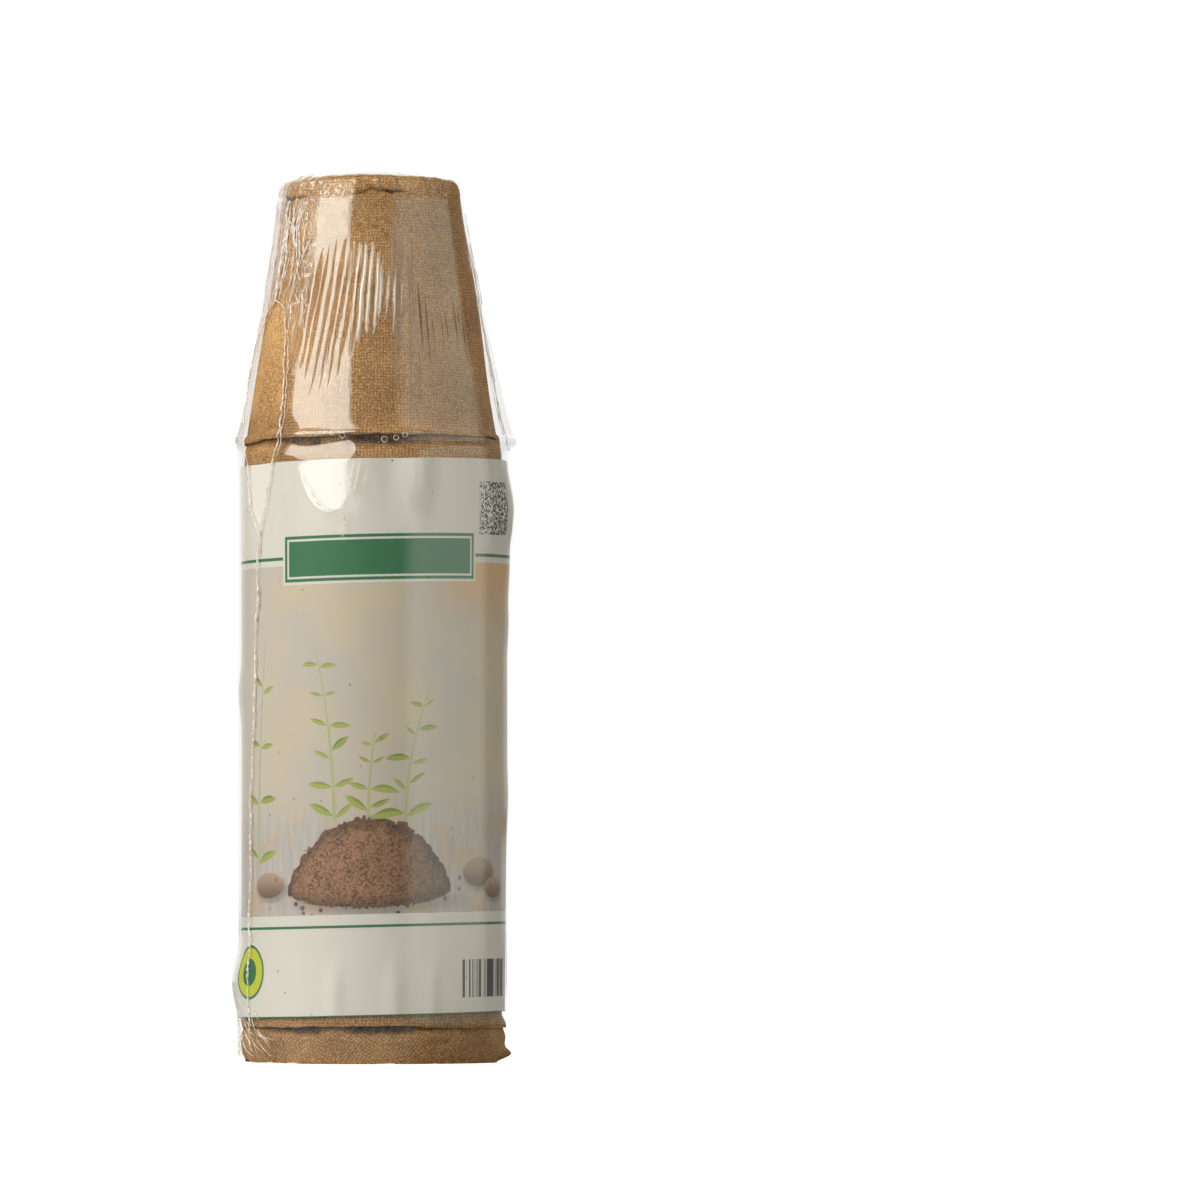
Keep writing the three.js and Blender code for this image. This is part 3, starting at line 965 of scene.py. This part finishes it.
FILM_FACETS = 288
TUBE_RINGS = 34
POUCH_RINGS = 40
NECK_RINGS = 16
WEB_RINGS = 60
CAP_RINGS = 8
POUCH_FOOT = TOP_RIM - 32 * MM
NECK_FOOT = TOP_RIM - 7 * MM
WEB_FOOT = TOP_RIM + 2 * MM

# The split's two sides, as bearings in degrees by height above the top pot's lip in millimetres
TEAR_HEIGHTS = np.array([-21.5, -18.6, -15.9, -10.9, -5.9, -1.1, 5.8, 14.0, 22.1, 29.3, 31.3, 32.2])
TEAR_LEFT = np.array([-57.7, -61.0, -65.5, -67.5, -68.0, -73.0, -81.0, -84.0, -83.0, -74.0, -69.5, -65.0])
TEAR_RIGHT = np.array([-57.7, -56.0, -53.4, -51.0, -48.3, -46.0, -47.0, -48.0, -50.5, -53.5, -58.5, -65.0])
TEAR_BOTTOM = TOP_RIM + TEAR_HEIGHTS[0] * MM
TEAR_TOP = TOP_RIM + TEAR_HEIGHTS[-1] * MM

# The weld's bearing in degrees, by its height
WELD_HEIGHTS = (0, TEAR_BOTTOM - 77 * MM, TEAR_BOTTOM, TEAR_TOP)
WELD_BEARINGS = (-66, -66, -57.7, -65)

# Slack pouches below the top pot's lip: middle and half-width in degrees, distance below the lip and
# depth in millimetres, slope, and how much the slope changes across
POUCHES = [(-18.6, 18.4, 2.6, 18.5, 0.1, 0.2), (-12.8, 4.2, 14, 11.0, 0.14, 0.0)]

# Where the film bridges hollows, by the same measures as the bumps of the pots
FILM_BUMPS = [(-27, 17, 194, 22, 0.45), (48, 12, 176, 14, 0.2), (38, 9, 160, 10, 0.2),
              (-8, 4.5, 139.3, 2.2, 0.4), (-31, 13, 142.4, 3.2, 0.95), (70, 30, 202, 3.5, 0.9)]


def pot_wall(bearing, height):
    """Outside radius of the top pot at a height; the film spans its shoulder more squarely in front."""
    up = height - TOP_RIM
    over = np.clip((up - CREASE) / SHOULDER_HEIGHT, 0, 1)
    square = 2 + 4 * np.clip(np.cos(bearing), 0, 1) ** 2
    return RIM_RADIUS - TAPER * up - SHOULDER_INSET * (1 - (1 - over ** square) ** (1 / square))


def near_bearing(bearing, at, wide):
    """A soft peak round one bearing, in degrees."""
    return np.exp(-np.abs(turn_from(bearing, at, wide)))


def film_radius(bearing, height):
    """The film lies on the band and the top pot, and stands off the pot as a web along its two side folds."""
    up = np.maximum(height, TOP_RIM)
    dents = np.maximum(top_change(bearing, up - TOP_RIM), -0.1 * MM)
    on_cone = pot_wall(bearing, up) + FILM_SLACK + dents
    right = near_bearing(bearing, 90, 13)
    left = near_bearing(bearing, -84, 12)
    share = np.clip((TOP_BASE - height) / POT_HEIGHT, 0, 1)
    crinkle = 0.3 * MM * waves(height / (9 * MM), 21, (1, 2, 3, 5), 0.5)
    crinkle = crinkle * (right + left) * step(share, 0.05, 0.3)
    web = (0.1 + 3.4 * share ** 2.2) * MM * right + (0.95 + 1.2 * share ** 4) * MM * left
    lip = 0.6 * MM * np.exp(-np.abs(height - TOP_RIM - 0.8 * MM) / (1.3 * MM))
    cone = on_cone + web + crinkle + lip
    below = np.maximum(TOP_RIM - height, 0) / MM
    tube = np.maximum(band_radius(bearing, height) + FILM_SLACK, TUBE_RADIUS)
    tube = tube + (1.6 * right * np.exp(-below / 1.4) + 0.6 * left * np.exp(-below / 5)) * MM
    front = np.exp(-turn_from(bearing, -15, 40) ** 2)
    blend = step(height, TOP_RIM - (1.8 + 3.7 * front) * MM, TOP_RIM + (0.5 - 0.7 * front) * MM)
    skin = tube * (1 - blend) + cone * blend + swell(bearing, height, FILM_BUMPS)
    for measures in POUCHES:
        skin = skin + pouch(bearing, height, *measures)
    return skin


def pouch(bearing, height, middle, half_wide, drop, depth, slope, lean):
    """A slack pouch below the top pot's lip that leans back and tucks in along a rounded lower outline."""
    down = np.clip((TOP_RIM - height) / MM - drop, 0, None)
    aside = (np.degrees(bearing) - middle) / half_wide
    inside = (1 - np.hypot(aside, down / depth)) * math.radians(half_wide) * TUBE_RADIUS / MM
    return down * slope * (1 + lean * aside) * step(inside, 0, 2.0) * MM


def tear_sides(height):
    """Bearings of the split's left and right edge at a height."""
    up = (height - TOP_RIM) / MM
    return tuple(np.radians(np.interp(up, TEAR_HEIGHTS, side)) for side in (TEAR_LEFT, TEAR_RIGHT))


def in_tear(bearing, height):
    """How far inside the split a place is, along the girth: negative outside."""
    left, right = tear_sides(height)
    up = (height - TOP_RIM) / MM
    level = (up > TEAR_HEIGHTS[0]) & (up < TEAR_HEIGHTS[-1])
    return np.where(level, np.minimum(bearing - left, right - bearing) * TUBE_RADIUS, -TUBE_RADIUS)


def film_profile():
    crease = TOP_BASE - SHOULDER_HEIGHT
    heights = [FILM_HEM]
    for end, count in ((POUCH_FOOT, TUBE_RINGS), (NECK_FOOT, POUCH_RINGS), (WEB_FOOT, NECK_RINGS),
                       (crease, WEB_RINGS)):
        heights += spread(heights[-1], end, count)
    heights += [crease + SHOULDER_HEIGHT * math.sin(math.radians(corner)) for corner in (20, 40, 60, 75)]
    edge = BASE_RADIUS - 1.6 * MM
    cap = [(edge * (1 - ring / CAP_RINGS), FILM_TOP) for ring in range(CAP_RINGS)]
    return [(TUBE_RADIUS, height) for height in heights] + cap


def lay_film(piece, bearing, radius, height):
    """Lays the film's side on what it wraps; its flat top keeps its radius."""
    radius = np.where(height < TOP_BASE, film_radius(bearing, height), radius)
    set_points(piece, place(bearing, radius, height))


def cut_tear(piece):
    """Deletes the faces inside the split, then brings the ragged edge that is left onto its outline."""
    points = get_points(piece)
    bearing, _ = polar(points)
    on_side = points[:, 2] < TOP_BASE
    depth = in_tear(bearing, points[:, 2])
    choose(piece)
    bpy.ops.object.mode_set(mode="EDIT")
    bpy.ops.mesh.select_mode(type="FACE")
    bpy.ops.mesh.select_all(action="DESELECT")
    bpy.ops.object.mode_set(mode="OBJECT")
    for face in piece.data.polygons:
        corners = list(face.vertices)
        face.select = bool(on_side[corners].all() and depth[corners].mean() > 0)
    bpy.ops.object.mode_set(mode="EDIT")
    bpy.ops.mesh.delete(type="FACE")
    bpy.ops.object.mode_set(mode="OBJECT")
    points = get_points(piece)
    bearing, radius = polar(points)
    height = points[:, 2]
    uses = {}
    for face in piece.data.polygons:
        for edge in face.edge_keys:
            uses[edge] = uses.get(edge, 0) + 1
    border = sorted({vertex for edge, count in uses.items() if count == 1 for vertex in edge})
    for vertex in border:
        left, right = tear_sides(height[vertex])
        nearest = left if abs(bearing[vertex] - left) < abs(bearing[vertex] - right) else right
        if abs(bearing[vertex] - nearest) * TUBE_RADIUS < 1.2 * MM and right - left > 0.02:
            bearing[vertex] = nearest
    lay_film(piece, bearing, radius, height)


def make_film():
    piece = raise_profile("film_skin", film_profile(), FILM_FACETS, True)
    points = get_points(piece)
    bearing, radius = polar(points)
    height = points[:, 2]
    hem = np.exp(-(height - FILM_HEM) / (2 * MM)) * (height < TOP_BASE)
    lay_film(piece, bearing, radius, height + 0.9 * MM * waves(bearing, 15, (3, 7, 13, 29), 0.4) * hem)
    cut_tear(piece)
    unroll(piece)
    finish_modifier(piece, "SOLIDIFY", thickness=FILM, offset=1)
    smooth(piece)
    dress(piece, "film_wrap", "clear_film", film_material())


def make_beads(name, lines, material, flatness=2):
    """Round beads on the film: each line is a list of bearing, height, stand-off and bead radius."""
    deselect()
    data = bpy.data.curves.new(name, "CURVE")
    data.dimensions = "3D"
    data.bevel_depth = 1.0
    data.bevel_resolution = flatness
    data.use_fill_caps = True
    for line, closed in lines:
        strand = data.splines.new("POLY")
        strand.points.add(len(line) - 1)
        bearing, height, off, thick = (np.array(column) for column in zip(*line))
        places = place(bearing, film_radius(bearing, height) + off, height)
        for point, at, radius in zip(strand.points, places, thick):
            point.co = (*at, 1)
            point.radius = radius
        strand.use_cyclic_u = closed
    piece = bpy.data.objects.new(name, data)
    bpy.context.collection.objects.link(piece)
    choose(piece)
    bpy.ops.object.convert(target="MESH")
    piece = bpy.context.object
    smooth(piece)
    dress(piece, "film_wrap", "clear_film", material)


def torn_edge():
    """The thickened, curled edge round the split, and a finer one beside it on the right."""
    count = 110
    low, high = TEAR_HEIGHTS[0], TEAR_HEIGHTS[-1]
    line = []
    for side in (1, 0):
        for share in range(count):
            level = (1 - math.cos(math.pi * share / count)) / 2
            up = high + (low - high) * level if side else low + (high - low) * level
            height = TOP_RIM + (up + RANDOM.gauss(0, 0.1)) * MM
            wander = RANDOM.gauss(0, 0.16) * MM
            bearing = float(tear_sides(height)[side]) + wander / TUBE_RADIUS
            line.append((bearing, height, 0.1 * MM, (0.08 + 0.17 * RANDOM.random() ** 2) * MM))
    beside = []
    for up in np.arange(25, -4, -0.9):
        height = TOP_RIM + up * MM
        bearing = float(tear_sides(height)[1]) + (1.1 + RANDOM.gauss(0, 0.2)) * MM / TUBE_RADIUS
        beside.append((bearing, height, 0.05 * MM, (0.05 + 0.09 * RANDOM.random()) * MM))
    return [(line, True), (beside, False)]


def weld_line():
    """The crinkled weld that closes the tube, above the split and below it."""
    lines = []
    for start, end in ((TOP_BASE - 5 * MM, TEAR_TOP), (TEAR_BOTTOM, 3 * MM)):
        line = []
        count = int(abs(start - end) / (0.7 * MM))
        drift = 0.0
        for share in range(count + 1):
            height = start + (end - start) * share / count
            along = np.interp(height, WELD_HEIGHTS, WELD_BEARINGS)
            drift = 0.85 * drift + RANDOM.gauss(0, 0.19) * MM
            bearing = math.radians(along) + drift / TUBE_RADIUS
            line.append((bearing, height, 0.08 * MM, (0.1 + 0.3 * RANDOM.random() ** 3) * MM))
        lines.append((line, False))
    return lines


# Folds in the film, drawn through places given as bearing in degrees and height in millimetres
CORNER_FOLDS = [
    [(-47.4, 197.6), (-47.7, 194.4), (-50.7, 192.8), (-50.8, 190.0), (-47.1, 184.2), (-48.3, 179.6),
     (-51.0, 176.1)],
    [(-57.2, 197.1), (-57.0, 193.2), (-56.3, 190.2), (-52.7, 186.6), (-52.7, 181.3), (-52.8, 176.1)],
    [(-68.0, 194.0), (-58.3, 191.4), (-54.2, 187.4)],
    [(-43.7, 195.0), (-44.8, 191.5), (-45.2, 188.3), (-44.5, 183.3)],
    [(-39.1, 188.6), (-42.7, 185.7), (-46.8, 181.5)],
    [(-62.0, 196.0), (-63.0, 190.0), (-60.0, 184.0), (-61.5, 177.0)],
]
POUCH_FOLDS = [
    [(-33.2, 136.1), (-30.8, 133.1), (-26.9, 129.9), (-23.7, 126.9), (-19.6, 125.5), (-15.7, 125.3),
     (-12.6, 126.2)],
    [(-8.4, 136.1), (-9.5, 132.0), (-9.9, 128.6)],
    [(-5.4, 136.1), (-6.7, 132.9), (-8.2, 128.8)],
    [(-12.6, 126.2), (-11.8, 124.1), (-12.2, 120.7), (-13.1, 119.1)],
]

# Scattered folds: how many places, between which bearings in degrees and heights in millimetres, and for
# each fold there its lean and the spread of it in radians, shortest and longest length, and width
SCATTERED_FOLDS = [
    (16, (-66, -46), (180, 198), [(0, 0.1, 8, 17, 0.09), (0, 0.4, 4, 8, 0.06)]),
    (18, (-82, -58), (171, 196), [(-0.2, 0.4, 3, 7, 0.055)]),
    (18, (-54, -38), (168, 182), [(0, 0.2, 3, 8, 0.08)]),
    (34, (-90, -58), (4, 15), [(0.75, 0.2, 3, 9, 0.06)]),
]

# Long folds down the webs at the two sides: bearing, and from where to where beside it, and how many
WEB_FOLDS = [(90, -13, 1, 7), (-86, -3, 9, 5)]
LOWEST_WEB_FOLD = 141

# Radius at which the short folds' lean is reckoned
FOLD_RADIUS = 24 * MM

# Vent holes: millimetres to the right of the middle and above the top pot's lip
VENTS = [(-9.3, 1.0), (-7.0, 0.3), (2.5, -0.6), (5.2, -0.2), (7.2, 0.5)]


def fold_through(places, width):
    """One fold through a few places, thin at its ends."""
    count = 16
    share = np.linspace(0, 1, count)
    along = share * (len(places) - 1)
    bearing, height = (np.interp(along, range(len(places)), column) for column in zip(*places))
    return [
        (math.radians(bearing[at] + RANDOM.gauss(0, 0.15)), height[at] * MM, 0.0,
         (0.03 + width * math.sin(math.pi * share[at]) ** 0.6 * RANDOM.uniform(0.6, 1)) * MM)
        for at in range(count)
    ]


def crease_line(bearing, height, turn, length, width):
    """One fold that starts thin, thickens and thins again; the turn is its lean from upright, in radians."""
    line = []
    count = 9
    stride = length / count * MM
    for share in range(count):
        thick = (0.02 + width * math.sin(math.pi * share / (count - 1))) * MM
        line.append((bearing, height, 0.0, thick))
        turn += RANDOM.gauss(0, 0.09)
        bearing += stride * math.sin(turn) / FOLD_RADIUS
        height = max(height - stride * math.cos(turn), FILM_HEM + 0.5 * MM)
    return line


def crushed_lines():
    """Sharp folds in the film round the split's top, below the top pot's lip and at the foot's left."""
    lines = [(fold_through(places, 0.15), False) for places in CORNER_FOLDS]
    lines += [(fold_through(places, 0.16), False) for places in POUCH_FOLDS]
    for count, bearings, heights, folds in SCATTERED_FOLDS:
        for _ in range(count):
            bearing = math.radians(RANDOM.uniform(*bearings))
            height = RANDOM.uniform(*heights) * MM
            for lean, scatter, shortest, longest, width in folds:
                turn = RANDOM.gauss(lean, scatter)
                length = RANDOM.uniform(shortest, longest)
                lines.append((crease_line(bearing, height, turn, length, width), False))
    return lines


def side_folds():
    lines = []
    for side, low, high, count in WEB_FOLDS:
        for _ in range(count):
            at = side + RANDOM.uniform(low, high)
            top = RANDOM.uniform(168, 198)
            bottom = max(top - RANDOM.uniform(18, 50), LOWEST_WEB_FOLD)
            line = []
            for height in np.arange(top, bottom, -1.6):
                at += RANDOM.gauss(0, 0.45)
                line.append((math.radians(at), height * MM, 0.0, (0.03 + 0.07 * RANDOM.random()) * MM))
            lines.append((line, False))
    return lines


def vent_rings():
    """Small rings that the hot needles left round the vent holes, near the top pot's lip."""
    lines = []
    count = 16
    for x, up in VENTS:
        middle = math.asin(x * MM / (RIM_RADIUS + 1 * MM))
        size = RANDOM.uniform(0.5, 0.65) * MM
        ring = []
        for share in range(count):
            angle = 2 * math.pi * share / count
            bearing = middle + size * math.sin(angle) / RIM_RADIUS
            ring.append((bearing, TOP_RIM + up * MM + size * math.cos(angle), 0.0, 0.075 * MM))
        lines.append((ring, True))
    return lines


def make_film_details():
    # Whitened film, whose warm cream also paints the glints of the folds
    milky_glints = fold_material()
    make_beads("film_torn_edge", torn_edge(), milky_glints)
    make_beads("film_weld", weld_line(), milky_glints)
    make_beads("film_folds", crushed_lines(), milky_glints, 1)
    make_beads("film_side_folds", side_folds(), milky_glints, 1)
    make_beads("film_vents", vent_rings(), milky_glints, 1)


# Setting

# Flat lights seen from the stack: bearing from the front, positive towards +X, and elevation in degrees,
# distance, width and height in metres, radiance and colour
SOFTBOXES = {
    "key_softbox": (-53, 32, 1.5, 1.62, 1.2, 4.3, (1.0, 0.97, 0.93)),
    "right_panel_1": (70.5, 12, 1.6, 2.35, 1.9, 0.25, (1.0, 0.95, 0.85)),
    "right_panel_2": (70.5, 12, 1.62, 2.78, 1.9, 0.25, (1.0, 0.95, 0.85)),
    "right_panel_3": (70.5, 12, 1.64, 3.22, 1.9, 0.25, (1.0, 0.95, 0.85)),
    "back_fill": (180, 35, 1.8, 2.4, 1.4, 1.4, (1.0, 1.0, 1.0)),
}


def make_lights():
    middle = Vector((0, 0, TOP_BASE / 2))
    for name, (bearing, elevation, distance, width, height, radiance, colour) in SOFTBOXES.items():
        light = bpy.data.lights.new(name, "AREA")
        light.shape = "RECTANGLE"
        light.size = width
        light.size_y = height
        light.energy = radiance * math.pi * width * height
        light.color = colour
        lamp = bpy.data.objects.new(name, light)
        bpy.context.collection.objects.link(lamp)
        turn, climb = math.radians(bearing), math.radians(elevation)
        away = Vector((math.sin(turn) * math.cos(climb), -math.cos(turn) * math.cos(climb), math.sin(climb)))
        lamp.location = middle + distance * away
        lamp.rotation_euler = (-away).to_track_quat("-Z", "Y").to_euler()
        lamp.visible_camera = False


def make_world():
    """White behind everything, a dim studio round it, and a white backdrop seen in gloss at the edges."""
    world = bpy.data.worlds.new("studio")
    bpy.context.scene.world = world
    world.use_nodes = True
    world.node_tree.nodes.clear()
    g = Graph(world.node_tree)
    toward = g.split(g.node("TexCoord", "Generated"))[1]
    backdrop = g.node("LightPath", "Is Glossy Ray") * g.span(toward, 0.75, 0.93)
    colour = g.paint(rgb(0.175, 0.163, 0.145), (backdrop, rgb(1.0, 0.93, 0.90)),
                     (g.node("LightPath", "Is Camera Ray"), rgb(1, 1, 1)))
    background = g.node("Background", 0, {"Color": colour})
    g.feed(g.nodes.new("ShaderNodeOutputWorld").inputs[0], background)


def make_floor():
    """A pale floor that glows for the camera, a painted brightness: a little darker where the stack stands on
    it and white further away.
    """
    deselect()
    bpy.ops.mesh.primitive_plane_add(size=60, location=(0, 0, 0))
    floor = bpy.context.object
    floor.name = "pale_floor"
    material, g = new_material("pale_floor")
    away = g.vector_length(g.object_point())
    glow = g.node("LightPath", "Is Camera Ray") * g.span(away, 0.05, 0.3, 0.86, 1.0)
    g.shade(Base_Color=rgb(0.35, 0.35, 0.35), Roughness=0.9,
            Emission_Color=rgb(1, 1, 1), Emission_Strength=glow)
    floor.data.materials.append(material)


def make_camera():
    data = bpy.data.cameras.new("camera")
    data.sensor_width = SENSOR
    data.lens = FOCAL_PIXELS / PHOTO_SIDE * SENSOR
    data.clip_start = 0.1
    data.clip_end = 50
    camera = bpy.data.objects.new("camera", data)
    bpy.context.collection.objects.link(camera)
    middle = PHOTO_SIDE / 2
    pitch = math.atan((EYE_PIXEL_Y - middle) / FOCAL_PIXELS)
    yaw = math.atan((middle - STACK_PIXEL_X) / FOCAL_PIXELS)
    camera.location = (0, -CAMERA_DISTANCE, EYE_HEIGHT)
    camera.rotation_euler = (math.pi / 2 + pitch, 0, -yaw)
    bpy.context.scene.camera = camera


def make_setting():
    make_world()
    make_floor()
    make_lights()
    make_camera()
    scene = bpy.context.scene
    scene.view_settings.view_transform = "Standard"
    scene.cycles.use_denoising = True
    scene.cycles.transparent_max_bounces = 24
    scene.cycles.max_bounces = 8


make_setting()
make_pots()
make_band()
make_film()
make_film_details()
